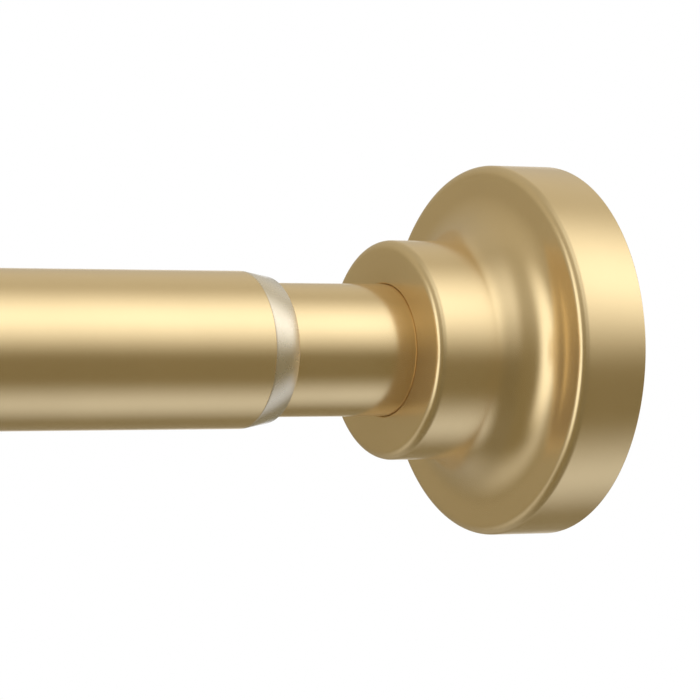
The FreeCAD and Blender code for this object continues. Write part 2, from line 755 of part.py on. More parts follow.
def make_collet():
    """Expander with a tapered mouth, slit fingers and a groove for the drag ring."""
    body = new_body("collet")
    inside_end = s.collet_length - s.collet_end_wall
    groove_floor = ring_coil_radius - s.ring_section_radius - s.close_gap
    groove_end = s.collet_groove_place + s.collet_groove_width
    revolve(body, "collet_turned", [
        line_to(ORIGIN, collet_mouth_radius),
        line_to(ORIGIN, collet_radius - s.collet_edge),
        line_to(s.collet_edge, collet_radius),
        line_to(s.collet_groove_place, collet_radius),
        line_to(s.collet_groove_place, groove_floor),
        line_to(groove_end, groove_floor),
        line_to(groove_end, collet_radius),
        line_to(s.collet_length - s.collet_edge, collet_radius),
        line_to(s.collet_length, collet_radius - s.collet_edge),
        line_to(s.collet_length, neck_bore),
        line_to(inside_end, neck_bore),
        line_to(inside_end, collet_throat_radius),
        line_to(s.collet_taper, collet_throat_radius),
    ])
    before = body.Shape.Volume
    sketch = new_sketch(body, "slit_outline")
    draw_outline(sketch, [
        line_to(ORIGIN, ORIGIN),
        line_to(ORIGIN, outer_radius),
        line_to(s.collet_slit_length, outer_radius),
        line_to(s.collet_slit_length, ORIGIN),
    ])
    slit = body.newObject("PartDesign::Pocket", "slit")
    slit.Profile = sketch
    slit.Midplane = True
    slit.setExpression("Length", s.collet_slit_width.formula)
    DOCUMENT.recompute()
    check_cut(body, "slit", before)
    pattern_round(body, slit, "slits", sketch, s.collet_slit_count)
    place(body, collet_place)
    return body


def make_drag_ring():
    """Rubber ring in the collet's groove."""
    ring = DOCUMENT.addObject("Part::Torus", "drag_ring")
    ring.Label = "drag_ring"
    ring.setExpression("Radius1", ring_coil_radius.formula)
    ring.setExpression("Radius2", s.ring_section_radius.formula)
    DOCUMENT.recompute()
    middle = collet_place + s.collet_groove_place + s.collet_groove_width / 2
    sideways = FreeCAD.Rotation(FreeCAD.Vector(0, 1, 0), HALF_TURN / 2)
    ring.Placement = FreeCAD.Placement(FreeCAD.Vector(middle.number, 0, 0), sideways)
    ring.setExpression("Placement.Base.x", middle.formula)
    return ring


def make_cone_nut():
    """Tapered nut with keys that slide in the collet's slits."""
    body = new_body("cone_nut")
    mouth = collet_mouth_radius - s.cone_gap
    big_end = mouth + taper_slope * s.cone_stand_off
    small_end = big_end - taper_slope * s.cone_length
    revolve(body, "cone", [
        line_to(ORIGIN, neck_bore),
        line_to(ORIGIN, big_end),
        line_to(s.cone_length, small_end),
        line_to(s.cone_length, neck_bore),
    ])
    sketch = new_sketch(body, "key_outline")
    key_start = s.cone_stand_off + s.cone_key_start
    key_end = key_start + s.cone_key_length
    key_radius = collet_radius - s.cone_key_drop
    root = neck_bore + (small_end - neck_bore) / 2
    draw_outline(sketch, [
        line_to(key_start, root),
        line_to(key_start, key_radius),
        line_to(key_end, key_radius),
        line_to(key_end, root),
    ])
    key = body.newObject("PartDesign::Pad", "key")
    key.Profile = sketch
    key.Midplane = True
    key.setExpression("Length", s.cone_key_width.formula)
    DOCUMENT.recompute()
    pattern_round(body, key, "keys", sketch, s.collet_slit_count)
    place(body, cone_place)
    return body


def make_stop_nut():
    """Hexagonal nut on the end of the nose."""
    body = new_body("stop_nut")
    sketch = new_sketch(body, "nut_section", "YZ_Plane")
    draw_hexagon(sketch, s.stop_nut_flats)
    draw_circle(sketch, s.nose_radius + s.press_gap)
    pad = body.newObject("PartDesign::Pad", "nut")
    pad.Profile = sketch
    pad.setExpression("Length", s.stop_nut_depth.formula)
    DOCUMENT.recompute()
    place(body, stop_nut_place)
    return body


def make_parts():
    """Every piece of the rod, from the wall inwards."""
    return [
        make_outer_tube(),
        make_mouth_bush(),
        make_cover("left_cover", outer_radius, at_far_end=False),
        make_foot("left_foot", outer_radius, outer_bore, at_far_end=False),
        make_pad("left_pad", at_far_end=False),
        make_inner_tube(),
        make_tube_plug(),
        make_spring_stop(),
        make_cover("right_cover", inner_radius, at_far_end=True),
        make_foot("right_foot", inner_radius, inner_bore, at_far_end=True),
        make_pad("right_pad", at_far_end=True),
        make_spring(),
        make_plunger_rod(),
        make_seat_clip(),
        make_spring_seat(),
        make_thrust_washer(),
        make_stop_nut(),
        make_collet(),
        make_drag_ring(),
        make_cone_nut(),
    ]


def check_document(parts):
    """Stops before anything is written if an object failed."""
    DOCUMENT.recompute()
    for item in DOCUMENT.Objects:
        if "Invalid" in item.State or "Error" in item.State:
            raise RuntimeError(f"{item.Name} ({item.Label}) did not compute: {item.State}")
    for part in parts:
        if part.Shape.isNull() or not part.Shape.isValid():
            raise RuntimeError(f"{part.Label} has no valid shape")
        if len(part.Shape.Solids) != 1:
            raise RuntimeError(f"{part.Label} has {len(part.Shape.Solids)} solids")


parts = make_parts()
check_document(parts)
os.makedirs("parts", exist_ok=True)
for part in parts:
    part.Shape.exportStep(f"parts/{part.Label}.step")
    print(f"{part.Label}: {part.Shape.Volume:.1f} mm3")
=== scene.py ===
import math
from collections import namedtuple

import bmesh
import bpy
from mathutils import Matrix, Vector


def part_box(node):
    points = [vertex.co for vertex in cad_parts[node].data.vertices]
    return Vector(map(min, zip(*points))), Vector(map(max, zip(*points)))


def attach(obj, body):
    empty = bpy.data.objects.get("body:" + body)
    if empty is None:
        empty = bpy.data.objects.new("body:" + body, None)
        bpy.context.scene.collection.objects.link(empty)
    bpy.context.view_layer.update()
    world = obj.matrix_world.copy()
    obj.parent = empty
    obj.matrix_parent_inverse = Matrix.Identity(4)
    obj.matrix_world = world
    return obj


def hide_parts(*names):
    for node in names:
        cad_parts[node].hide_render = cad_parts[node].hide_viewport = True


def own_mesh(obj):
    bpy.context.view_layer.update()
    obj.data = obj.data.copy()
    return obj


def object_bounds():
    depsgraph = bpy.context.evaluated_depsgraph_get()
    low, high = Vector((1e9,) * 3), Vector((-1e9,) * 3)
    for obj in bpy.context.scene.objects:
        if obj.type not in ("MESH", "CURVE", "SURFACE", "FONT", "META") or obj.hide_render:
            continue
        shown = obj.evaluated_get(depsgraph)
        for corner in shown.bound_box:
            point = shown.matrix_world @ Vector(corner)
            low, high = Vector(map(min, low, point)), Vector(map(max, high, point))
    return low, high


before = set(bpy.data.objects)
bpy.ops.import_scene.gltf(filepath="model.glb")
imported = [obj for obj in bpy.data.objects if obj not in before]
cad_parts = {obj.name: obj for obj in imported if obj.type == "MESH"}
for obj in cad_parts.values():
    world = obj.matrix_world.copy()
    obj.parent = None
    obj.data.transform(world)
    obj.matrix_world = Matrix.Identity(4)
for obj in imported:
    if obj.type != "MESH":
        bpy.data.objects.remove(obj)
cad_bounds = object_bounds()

# Spring tension rod: looks, light and camera. Everything is in metres, with the
# rod along +X, its axis at y = z = 0, and the left wall face at x = 0.

MM = 0.001

# How finely round shapes are cut, and the angle from which an edge stays sharp.
ROUND_STEPS = 288
ARC_STEPS = 14
COVE_STEPS = 24
TURNED_SHARP_DEGREES = 30.0
SWEPT_SHARP_DEGREES = 40.0

# Tube sizes that the frame's boxes don't give
TUBE_WALL = 0.7 * MM
TUBE_EDGE = 0.1 * MM
CRIMP_DEPTH = 0.6 * MM
CRIMP_WIDTH = 3.0 * MM
CRIMP_FLOOR = 1.4 * MM
CRIMP_HALF_STEPS = 12
CRIMP_FROM_PLUG_END = 9.0 * MM
CRIMP_FROM_STOP_END = 4.0 * MM

# Cap. The flange's depth is measured from the wall, and the lip's from the hub's face.
CAP_WALL = 1.0 * MM
CAP_HUB_RADIUS = 17.95 * MM
CAP_HUB_ROUND = 1.5 * MM
CAP_FLANGE_DEPTH = 12.25 * MM
CAP_FLANGE_ROUND = 1.6 * MM
CAP_COVE = 8.05 * MM
CAP_BORE_GAP = 0.02 * MM
CAP_LIP_ROUND = 0.3 * MM
CAP_LIP_DEPTH = 3.5 * MM
CAP_EDGE = 0.2 * MM

# Bush in the outer tube's mouth, with its collar. The middle point of the collar's
# soft edge lies in from both of its faces.
BUSH_SLEEVE = 18.0 * MM
BUSH_SLEEVE_GAP = 0.03 * MM
BUSH_WALL = 1.06 * MM
BUSH_SHOULDER_DROP = 0.03 * MM
BUSH_LAND = 0.4 * MM
BUSH_TAPER = 4.15 * MM
BUSH_TAPER_DROP = 0.78 * MM
BUSH_NOSE_ROUND = 0.87 * MM
BUSH_NOSE_DROP = 1.22 * MM
BUSH_EDGE = 0.04 * MM
BUSH_EDGE_MIDDLE = 0.012 * MM

# Spring. The closed rise and the ground depth are in wire radii.
SPRING_WIRE_RADIUS = 0.9 * MM
SPRING_WIRE_STEPS = 14
SPRING_TURNS = 16.5
SPRING_TURN_STEPS = 40
SPRING_CLOSED_TURNS = 0.8
SPRING_OPENING_TURNS = 0.7
SPRING_CLOSED_RISE = 2.04
SPRING_GROUND_DEPTH = 0.4

# Hexagonal bar
BAR_ROUND_STEPS = 72
BAR_FLATS = 8.0 * MM
BAR_CORNER_RADIUS = BAR_FLATS / math.sqrt(3.0)
BAR_EDGE = 0.35 * MM
BAR_BEVEL = 0.8 * MM
BAR_BEVEL_LENGTH = 1.28 * MM
CLIP_GROOVE_RADIUS = 3.3 * MM
CLIP_THICKNESS = 1.0 * MM

# Threaded nose of the bar. The slope is how many depths a groove's side climbs over
# one pitch, and the neck is left plain.
NOSE_RADIUS = 3.0 * MM
NOSE_BEVEL = 0.6 * MM
THREAD_PITCH = 2.0 * MM
THREAD_PITCH_STEPS = 12
THREAD_DEPTH = 0.55 * MM
THREAD_SLOPE = 2.6
THREAD_NECK_TURNS = 1.5


# Outlines, as points (x, r) with x along the rod and r from its axis

def arc_points(centre, radius, start_degrees, end_degrees, steps=ARC_STEPS):
    """Points of an arc, ends included."""
    points = []
    for number in range(steps + 1):
        angle = math.radians(start_degrees + (end_degrees - start_degrees) * number / steps)
        points.append((centre[0] + radius * math.cos(angle), centre[1] + radius * math.sin(angle)))
    return points


def left_round(corner, radius):
    """A solid's rounded upper left corner, from its left face to its top."""
    return arc_points((corner[0] + radius, corner[1] - radius), radius, 180.0, 90.0)


def right_round(corner, radius):
    """A solid's rounded upper right corner, from its top to its right face."""
    return arc_points((corner[0] - radius, corner[1] - radius), radius, 90.0, 0.0)


def arc_through(start, end, radius):
    """Points of the arc from start to end that bulges away from the axis, ends included."""
    chord = Vector(end) - Vector(start)
    reach = math.sqrt(radius * radius - chord.length_squared / 4.0)
    inward = Vector((chord.y, -chord.x)).normalized()
    centre = (Vector(start) + Vector(end)) / 2.0 + inward * reach
    first = math.degrees(math.atan2(start[1] - centre.y, start[0] - centre.x))
    last = math.degrees(math.atan2(end[1] - centre.y, end[0] - centre.x))
    return arc_points(centre, radius, first, last)


def eased(share):
    """A share held between 0 and 1, leaving and arriving softly."""
    share = min(max(share, 0.0), 1.0)
    return share * share * (3.0 - 2.0 * share)


# Meshes

def circle_point(x, radius, turn):
    """A point on a circle about the rod's axis, at a number of turns from the top."""
    angle = 2.0 * math.pi * turn
    return (x, radius * math.sin(angle), radius * math.cos(angle))


def ring_piece(name, rings, endless, sharp_degrees):
    """A mesh from rings of points, each joined to the next. The last one joins the first
    where the rings are endless, and otherwise both ends are flat."""
    builder = bmesh.new()
    made = [[builder.verts.new(point) for point in ring] for ring in rings]
    pairs = list(zip(made, made[1:]))
    if endless:
        pairs.append((made[-1], made[0]))
    for first, second in pairs:
        for number in range(len(first)):
            following = (number + 1) % len(first)
            builder.faces.new((first[number], first[following], second[following], second[number]))
    if not endless:
        builder.faces.new(made[0])
        builder.faces.new(made[-1][::-1])
    bmesh.ops.recalc_face_normals(builder, faces=builder.faces)
    mesh = bpy.data.meshes.new(name)
    builder.to_mesh(mesh)
    builder.free()
    mesh.shade_smooth()
    mesh.set_sharp_from_angle(angle=math.radians(sharp_degrees))
    piece = bpy.data.objects.new(name, mesh)
    bpy.context.scene.collection.objects.link(piece)
    return piece


def lathe(name, outline):
    """Turns a closed outline about the rod's axis into a mesh piece."""
    turns = [step / ROUND_STEPS for step in range(ROUND_STEPS)]
    rings = [[circle_point(x, r, turn) for turn in turns] for x, r in outline]
    return ring_piece(name, rings, endless=True, sharp_degrees=TURNED_SHARP_DEGREES)


# Node trees

# The Mix node's sockets for colours, whose names its sockets for numbers bear too
MIX_FACTOR, MIX_FIRST, MIX_SECOND, MIX_RESULT = 0, 6, 7, 2


class Nodes:
    """Short calls for a node tree. A value is a number, a tuple or another node's output."""

    def __init__(self, tree):
        self.tree = tree

    def fill(self, node, values):
        """Sets or links a node's inputs, each by its name or number."""
        for key, value in values.items():
            if isinstance(value, bpy.types.NodeSocket):
                self.tree.links.new(value, node.inputs[key])
            else:
                node.inputs[key].default_value = value

    def add(self, kind, values=None, **settings):
        """A new node with its settings and the values of its inputs."""
        node = self.tree.nodes.new(kind)
        for key, value in settings.items():
            setattr(node, key, value)
        self.fill(node, values or {})
        return node

    def math(self, operation, *values):
        """What a sum, product or other operation on numbers gives."""
        node = self.add("ShaderNodeMath", dict(enumerate(values)), operation=operation)
        return node.outputs[0]

    def vector_math(self, operation, *values):
        """What an operation on vectors gives: a vector, or a number for a dot product."""
        node = self.add("ShaderNodeVectorMath", dict(enumerate(values)), operation=operation)
        return node.outputs["Value" if operation == "DOT_PRODUCT" else "Vector"]


def mapped(nodes, source, start, end, low, high, interpolation="LINEAR"):
    """Maps a value that runs from start to end onto low to high."""
    values = {"Value": source, "From Min": start, "From Max": end, "To Min": low, "To Max": high}
    node = nodes.add("ShaderNodeMapRange", values, interpolation_type=interpolation)
    return node.outputs["Result"]


def soft_step(nodes, source, low, high):
    """Rises smoothly from 0 at low to 1 at high, or falls where low is above high."""
    rising = low < high
    start, end = min(low, high), max(low, high)
    return mapped(nodes, source, start, end, float(not rising), float(rising), "SMOOTHSTEP")


# Materials

# The spans of a noise that are spread over a material's roughness and over its tints
NOISE_SPAN = (0.25, 0.75)
TINT_SPAN = (0.3, 0.7)

GOLD_DARK = (0.825, 0.618, 0.314)
GOLD_LIGHT = (0.860, 0.646, 0.330)
GOLD_METALLIC = 0.78
GOLD_ROUGHNESS_GIVE = 0.03
TUBE_ROUGHNESS = 0.19
CAP_ROUGHNESS = 0.22
MILKY_DARK = (0.80, 0.67, 0.44)
MILKY_LIGHT = (0.845, 0.71, 0.47)
MILKY_ROUGHNESS = (0.24, 0.30)
MOULDED_ROUGHNESS_GIVE = 0.06
STEEL_SMOOTHER = 0.06
STEEL_ROUGHER = 0.08


def new_material(name):
    """A material with its nodes and its Principled shader."""
    material = bpy.data.materials.new(name)
    material.use_nodes = True
    return material, Nodes(material.node_tree), material.node_tree.nodes["Principled BSDF"]


def noise(nodes, scale, detail=2.0, roughness=0.5, stretch=None):
    """A noise over the object, in turns per metre, stretched by scaling each axis."""
    place = nodes.add("ShaderNodeTexCoord").outputs["Object"]
    if stretch is not None:
        place = nodes.add("ShaderNodeMapping", {"Vector": place, "Scale": stretch}).outputs["Vector"]
    values = {"Vector": place, "Scale": scale, "Detail": detail, "Roughness": roughness}
    return nodes.add("ShaderNodeTexNoise", values).outputs["Fac"]


def spread(nodes, source, low, high):
    """Maps a noise to a range."""
    return mapped(nodes, source, *NOISE_SPAN, low, high)


def tinted(nodes, source, dark, light):
    """Maps a noise to a range of colour."""
    ramp = nodes.add("ShaderNodeValToRGB", {"Fac": source})
    for element, position, colour in zip(ramp.color_ramp.elements, TINT_SPAN, (dark, light)):
        element.position = position
        element.color = (*colour, 1.0)
    return ramp.outputs["Color"]


def bump(nodes, height, strength, depth):
    """The normal of a bumpy surface, from a height and its depth in metres."""
    values = {"Height": height, "Strength": strength, "Distance": depth}
    return nodes.add("ShaderNodeBump", values).outputs["Normal"]


def satin_gold(name, roughness):
    """Gold plating on steel, blasted to a fine satin. Its share that isn't metal keeps
    some colour where it mirrors darkness, and no clear mirror lies on top."""
    material, nodes, shader = new_material(name)
    cloud = noise(nodes, scale=60.0, detail=3.0)
    grain = noise(nodes, scale=4200.0)
    low, high = roughness - GOLD_ROUGHNESS_GIVE, roughness + GOLD_ROUGHNESS_GIVE
    nodes.fill(shader, {
        "Metallic": GOLD_METALLIC,
        "Specular IOR Level": 0.0,
        "Base Color": tinted(nodes, cloud, GOLD_DARK, GOLD_LIGHT),
        "Roughness": spread(nodes, grain, low, high),
        "Normal": bump(nodes, grain, strength=0.08, depth=0.02 * MM),
    })
    return material


def milky_plastic():
    """Milky moulded plastic. Its warm and partly metallic base stands for the gold tube
    that shows through it."""
    material, nodes, shader = new_material("milky_plastic")
    cloud = noise(nodes, scale=300.0)
    grain = noise(nodes, scale=2500.0)
    nodes.fill(shader, {
        "Metallic": 0.70,
        "IOR": 1.46,
        "Transmission Weight": 0.15,
        "Coat Weight": 1.0,
        "Coat IOR": 1.65,
        "Coat Roughness": 0.2,
        "Base Color": tinted(nodes, cloud, MILKY_DARK, MILKY_LIGHT),
        "Roughness": spread(nodes, cloud, *MILKY_ROUGHNESS),
        "Normal": bump(nodes, grain, strength=0.02, depth=0.02 * MM),
    })
    return material


def moulded(name, dark, light, roughness, grain_scale=1800.0, grain_depth=0.03 * MM):
    """Moulded plastic or rubber with a fine spark-eroded grain."""
    material, nodes, shader = new_material(name)
    cloud = noise(nodes, scale=90.0, detail=3.0)
    grain = noise(nodes, scale=grain_scale, detail=3.0, roughness=0.6)
    low, high = roughness - MOULDED_ROUGHNESS_GIVE, roughness + MOULDED_ROUGHNESS_GIVE
    nodes.fill(shader, {
        "Base Color": tinted(nodes, cloud, dark, light),
        "Roughness": spread(nodes, grain, low, high),
        "Normal": bump(nodes, grain, strength=0.35, depth=grain_depth),
    })
    return material


def steel(name, dark, light, roughness, stretch):
    """Drawn or plated steel with fine lines along it."""
    material, nodes, shader = new_material(name)
    lines = noise(nodes, scale=700.0, detail=3.0, stretch=stretch)
    nodes.fill(shader, {
        "Metallic": 1.0,
        "Base Color": tinted(nodes, lines, dark, light),
        "Roughness": spread(nodes, lines, roughness - STEEL_SMOOTHER, roughness + STEEL_ROUGHER),
        "Normal": bump(nodes, lines, strength=0.2, depth=0.02 * MM),
    })
    return material


TUBE_GOLD = satin_gold("tube_gold", TUBE_ROUGHNESS)
CAP_GOLD = satin_gold("cap_gold", CAP_ROUGHNESS)
MILKY = milky_plastic()
FOOT_PLASTIC = moulded("foot_plastic", dark=(0.74, 0.73, 0.70), light=(0.79, 0.78, 0.75), roughness=0.5)
GUIDE_PLASTIC = moulded("guide_plastic", dark=(0.70, 0.69, 0.65), light=(0.76, 0.75, 0.71), roughness=0.45)
PAD_RUBBER = moulded("pad_rubber", dark=(0.60, 0.585, 0.55), light=(0.66, 0.645, 0.61), roughness=0.75,
                     grain_scale=1200.0, grain_depth=0.06 * MM)
RING_RUBBER = moulded("ring_rubber", dark=(0.02, 0.02, 0.02), light=(0.035, 0.035, 0.035), roughness=0.6)
SPRING_STEEL = steel("spring_steel", dark=(0.30, 0.30, 0.31), light=(0.42, 0.42, 0.43), roughness=0.32,
                     stretch=(0.4, 1.0, 1.0))
ZINC_STEEL = steel("zinc_steel", dark=(0.55, 0.55, 0.54), light=(0.68, 0.67, 0.64), roughness=0.3,
                   stretch=(0.1, 1.0, 1.0))


# Pieces

def finish_piece(piece, body, material, replaced):
    """Gives a piece its material and its body, and hides the CAD node that it stands for."""
    piece.data.materials.clear()
    piece.data.materials.append(material)
    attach(piece, body)
    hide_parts(replaced)


def dress_node(node, material):
    """A better material on a CAD node that is shown as it is."""
    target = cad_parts[node]
    target.data.materials.clear()
    target.data.materials.append(material)


def crimp(middle, radius):
    """A rolled crimp's outline, with soft lips."""
    half_width = CRIMP_WIDTH / 2.0
    lip = (CRIMP_WIDTH - CRIMP_FLOOR) / 2.0
    points = []
    for number in range(-CRIMP_HALF_STEPS, CRIMP_HALF_STEPS + 1):
        offset = half_width * number / CRIMP_HALF_STEPS
        drop = CRIMP_DEPTH * eased((half_width - abs(offset)) / lip)
        points.append((middle + offset, radius - drop))
    return points


def tube(name, node, body, crimps=()):
    """A drawn tube with softly deburred ends, and with rolled crimps where it holds a guide."""
    low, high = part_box(node)
    outside = high[2]
    inside = outside - TUBE_WALL
    outline = left_round((low[0], outside), TUBE_EDGE)
    for middle in crimps:
        outline += crimp(middle, outside)
    outline += right_round((high[0], outside), TUBE_EDGE)
    outline.append((high[0], inside))
    for middle in reversed(crimps):
        outline += crimp(middle, inside)[::-1]
    outline.append((low[0], inside))
    piece = lathe(name, outline)
    finish_piece(piece, body, TUBE_GOLD, node)


def cap(name, node, body, tube_node, at_far_end):
    """The stepped cap, one shell: flange, hollow round, hub and turned-in lip."""
    low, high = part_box(node)
    depth = high[0] - low[0]
    rim = high[2]
    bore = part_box(tube_node)[1][2] + CAP_BORE_GAP
    cove_centre = (CAP_FLANGE_DEPTH + CAP_COVE, CAP_HUB_RADIUS + CAP_COVE)
    outside = left_round((0.0, rim), CAP_EDGE)
    outside += right_round((CAP_FLANGE_DEPTH, rim), CAP_FLANGE_ROUND)
    outside += arc_points(cove_centre, CAP_COVE, 180.0, 270.0, COVE_STEPS)
    outside += right_round((depth, CAP_HUB_RADIUS), CAP_HUB_ROUND)
    lip_end = depth - CAP_LIP_DEPTH
    lip_top = bore + CAP_WALL
    hub_end = depth - CAP_WALL
    lip = arc_points((depth - CAP_LIP_ROUND, bore + CAP_LIP_ROUND), CAP_LIP_ROUND, 0.0, -90.0)
    lip += [(lip_end, bore), (lip_end, lip_top), (hub_end, lip_top)]
    flange_inside = CAP_FLANGE_DEPTH - CAP_WALL
    inside = right_round((hub_end, CAP_HUB_RADIUS - CAP_WALL), CAP_HUB_ROUND - CAP_WALL)[::-1]
    inside += arc_points(cove_centre, CAP_COVE + CAP_WALL, 270.0, 180.0, COVE_STEPS)
    inside += right_round((flange_inside, rim - CAP_WALL), CAP_FLANGE_ROUND - CAP_WALL)[::-1]
    inside += [(CAP_EDGE, rim - CAP_WALL), (0.0, rim - CAP_WALL + CAP_EDGE)]
    outline = outside + lip + inside
    if at_far_end:
        outline = [(high[0] - x, r) for x, r in outline]
    else:
        outline = [(low[0] + x, r) for x, r in outline]
    piece = lathe(name, outline)
    finish_piece(piece, body, CAP_GOLD, node)


def bush():
    """The bush in the outer tube's mouth: a sleeve inside and a tapered, rounded collar."""
    low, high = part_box("mouth_bush")
    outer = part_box("outer_tube")[1][2]
    sleeve = outer - TUBE_WALL - BUSH_SLEEVE_GAP
    bore = sleeve - BUSH_WALL
    mouth = low[0] + BUSH_SLEEVE
    root = outer - BUSH_SHOULDER_DROP
    taper_end = (mouth + BUSH_LAND + BUSH_TAPER, root - BUSH_TAPER_DROP)
    lip = (high[0], root - BUSH_NOSE_DROP)
    outline = [(low[0], bore), (low[0], sleeve), (mouth, sleeve), (mouth, root - BUSH_EDGE)]
    outline += [(mouth + BUSH_EDGE_MIDDLE, root - BUSH_EDGE_MIDDLE), (mouth + BUSH_EDGE, root)]
    outline.append((mouth + BUSH_LAND, root))
    outline += arc_through(taper_end, lip, BUSH_NOSE_ROUND)
    outline.append((high[0], bore))
    piece = lathe("mouth_bush_shell", outline)
    finish_piece(piece, "outer", MILKY, "mouth_bush")


def spring_places(length):
    """The wire's place along the rod at each step: closed end turns, open turns between."""
    steps = round(SPRING_TURNS * SPRING_TURN_STEPS)
    closed_rise = SPRING_CLOSED_RISE * SPRING_WIRE_RADIUS / SPRING_TURN_STEPS
    openings = []
    for number in range(steps):
        from_end = min(number, steps - 1 - number) / SPRING_TURN_STEPS
        openings.append(eased((from_end - SPRING_CLOSED_TURNS) / SPRING_OPENING_TURNS))
    closed_length = closed_rise * sum(1.0 - share for share in openings)
    open_rise = (length - closed_length) / sum(openings)
    places = [0.0]
    for share in openings:
        places.append(places[-1] + closed_rise * (1.0 - share) + open_rise * share)
    return places


def compression_spring():
    """The spring, with closed end turns ground flat."""
    low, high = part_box("spring")
    coil = high[2] - SPRING_WIRE_RADIUS
    ground = SPRING_GROUND_DEPTH * SPRING_WIRE_RADIUS
    start, end = low[0] - ground, high[0] + ground
    rings = []
    for number, place in enumerate(spring_places(end - start)):
        ring = []
        for step in range(SPRING_WIRE_STEPS):
            angle = 2.0 * math.pi * step / SPRING_WIRE_STEPS
            radius = coil + SPRING_WIRE_RADIUS * math.cos(angle)
            along = start + place + SPRING_WIRE_RADIUS * math.sin(angle)
            along = min(max(along, low[0]), high[0])
            ring.append(circle_point(along, radius, number / SPRING_TURN_STEPS))
        rings.append(ring)
    piece = ring_piece("spring_coil", rings, endless=False, sharp_degrees=SWEPT_SHARP_DEGREES)
    finish_piece(piece, "inner", SPRING_STEEL, "spring")
    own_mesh(piece)


def hexagon_radius(turn):
    """The bar's reach at a share of a turn, with its corners rounded."""
    from_flat = (2.0 * math.pi * turn) % (math.pi / 3.0) - math.pi / 6.0
    return min(BAR_FLATS / 2.0 / math.cos(from_flat), BAR_CORNER_RADIUS - BAR_EDGE)


def nose_radius(x, turn, tip, shoulder):
    """The nose's reach at a share of a turn: bevelled tip, rolled thread and plain neck."""
    bevel = NOSE_RADIUS - NOSE_BEVEL + (x - tip)
    thread_end = shoulder - THREAD_NECK_TURNS * THREAD_PITCH
    fade = min(max((thread_end - x) / THREAD_PITCH, 0.0), 1.0)
    phase = ((x - tip) / THREAD_PITCH - turn) % 1.0
    groove = THREAD_DEPTH * fade * max(0.0, 1.0 - abs(phase - 0.5) * THREAD_SLOPE)
    return min(NOSE_RADIUS - groove, bevel)


def plunger_rod():
    """The hexagonal bar with its clip groove, and the nose with its rolled thread."""
    low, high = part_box("plunger_rod")
    tip, end = low[0], high[0]
    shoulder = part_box("thrust_washer")[1][0]
    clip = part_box("seat_clip")[0][0]
    clip_end = clip + CLIP_THICKNESS
    turns = [step / BAR_ROUND_STEPS for step in range(BAR_ROUND_STEPS)]
    rings = []
    count = round((shoulder - tip) / THREAD_PITCH * THREAD_PITCH_STEPS)
    for number in range(count + 1):
        x = tip + (shoulder - tip) * number / count
        rings.append([circle_point(x, nose_radius(x, turn, tip, shoulder), turn) for turn in turns])
    limits = [(shoulder, BAR_CORNER_RADIUS), (clip, BAR_CORNER_RADIUS)]
    limits += [(clip, CLIP_GROOVE_RADIUS), (clip_end, CLIP_GROOVE_RADIUS), (clip_end, BAR_CORNER_RADIUS)]
    limits += [(end - BAR_BEVEL_LENGTH, BAR_CORNER_RADIUS), (end, BAR_CORNER_RADIUS - BAR_BEVEL)]
    for x, limit in limits:
        rings.append([circle_point(x, min(hexagon_radius(turn), limit), turn) for turn in turns])
    piece = ring_piece("plunger_rod_turned", rings, endless=False, sharp_degrees=SWEPT_SHARP_DEGREES)
    finish_piece(piece, "plunger", ZINC_STEEL, "plunger_rod")


plug_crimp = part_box("tube_plug")[1][0] - CRIMP_FROM_PLUG_END
stop_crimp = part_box("spring_stop")[1][0] - CRIMP_FROM_STOP_END
tube("outer_tube_shell", "outer_tube", "outer")
bush()
tube("inner_tube_shell", "inner_tube", "inner", (plug_crimp, stop_crimp))
cap("left_cap_shell", "left_cover", "outer", "outer_tube", at_far_end=False)
cap("right_cap_shell", "right_cover", "inner", "inner_tube", at_far_end=True)
compression_spring()
plunger_rod()

for node in ("left_foot", "right_foot"):
    dress_node(node, FOOT_PLASTIC)
for node in ("left_pad", "right_pad"):
    dress_node(node, PAD_RUBBER)
for node in ("tube_plug", "spring_stop", "collet", "cone_nut"):
    dress_node(node, GUIDE_PLASTIC)
for node in ("seat_clip", "spring_seat", "thrust_washer", "stop_nut"):
    dress_node(node, ZINC_STEEL)
dress_node("drag_ring", RING_RUBBER)


# Camera, level with the rod, on the room side and turned to its right end. Its place,
# turn and focal length were fitted to the edges of tubes and cap in the photograph.

CAMERA_BACK = 571.7 * MM
CAMERA_BEFORE_HUB = 344.9 * MM
CAMERA_YAW = 0.5350
CAMERA_ROLL = -0.0009
SENSOR_WIDTH = 36.0
FOCAL_PIXELS = 4087.5
IMAGE_PIXELS = 700.0

hub_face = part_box("right_cover")[0][0]
camera_data = bpy.data.cameras.new("camera")
camera_data.sensor_width = SENSOR_WIDTH
camera_data.lens = FOCAL_PIXELS / IMAGE_PIXELS * SENSOR_WIDTH
camera_data.clip_start = 0.01
camera_data.clip_end = 50.0
camera = bpy.data.objects.new("camera", camera_data)
camera.location = (hub_face - CAMERA_BEFORE_HUB, -CAMERA_BACK, 0.0)
camera.rotation_euler = (math.pi / 2.0, CAMERA_ROLL, -CAMERA_YAW)
bpy.context.scene.collection.objects.link(camera)
bpy.context.scene.camera = camera


# Light

